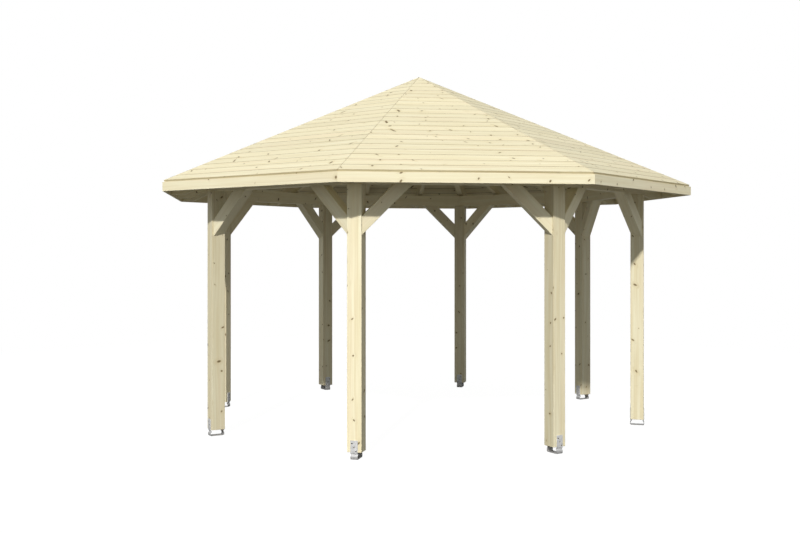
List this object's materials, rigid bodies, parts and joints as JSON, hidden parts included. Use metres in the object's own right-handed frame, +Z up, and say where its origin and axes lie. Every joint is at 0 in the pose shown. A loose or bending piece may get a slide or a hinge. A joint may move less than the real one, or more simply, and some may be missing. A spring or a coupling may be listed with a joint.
{
  "type": "octagonal garden gazebo",
  "caption": "Open octagonal timber garden gazebo: posts on steel shoes carry ring beams, knee braces, rafters and a pointed board roof.",
  "frame": {"origin": "centre of the plan at ground level", "axes": "+Z up along the roof's axis, -Y towards the front side, X along the front side's eave"},
  "size_m": [4.8004, 4.8004, 3.3635],
  "materials": {
    "post_timber": "planed untreated spruce with small knots",
    "beam_timber": "planed untreated spruce with small knots",
    "brace_timber": "planed untreated spruce with small knots",
    "rafter_timber": "planed untreated spruce with small knots",
    "fascia_board": "planed untreated spruce with small knots",
    "roof_board": "planed untreated tongue and groove spruce boards",
    "galvanised_steel": "dull hot-dip galvanised"
  },
  "bodies": {
    "root": {"post_shoes": "galvanised_steel", "post_1": "post_timber", "post_2": "post_timber", "post_3": "post_timber", "post_4": "post_timber", "post_5": "post_timber", "post_6": "post_timber", "post_7": "post_timber", "post_8": "post_timber", "ring_beam_1": "beam_timber", "ring_beam_2": "beam_timber", "ring_beam_3": "beam_timber", "ring_beam_4": "beam_timber", "ring_beam_5": "beam_timber", "ring_beam_6": "beam_timber", "ring_beam_7": "beam_timber", "ring_beam_8": "beam_timber", "braces_1": "brace_timber", "braces_2": "brace_timber", "braces_3": "brace_timber", "braces_4": "brace_timber", "braces_5": "brace_timber", "braces_6": "brace_timber", "braces_7": "brace_timber", "braces_8": "brace_timber", "hip_rafters": "rafter_timber", "jack_rafters": "rafter_timber", "rafter_hub": "rafter_timber", "fascia_1": "fascia_board", "fascia_2": "fascia_board", "fascia_3": "fascia_board", "fascia_4": "fascia_board", "fascia_5": "fascia_board", "fascia_6": "fascia_board", "fascia_7": "fascia_board", "fascia_8": "fascia_board", "roof_panel_1": "roof_board", "roof_panel_2": "roof_board", "roof_panel_3": "roof_board", "roof_panel_4": "roof_board", "roof_panel_5": "roof_board", "roof_panel_6": "roof_board", "roof_panel_7": "roof_board", "roof_panel_8": "roof_board"}
  },
  "joints": []
}
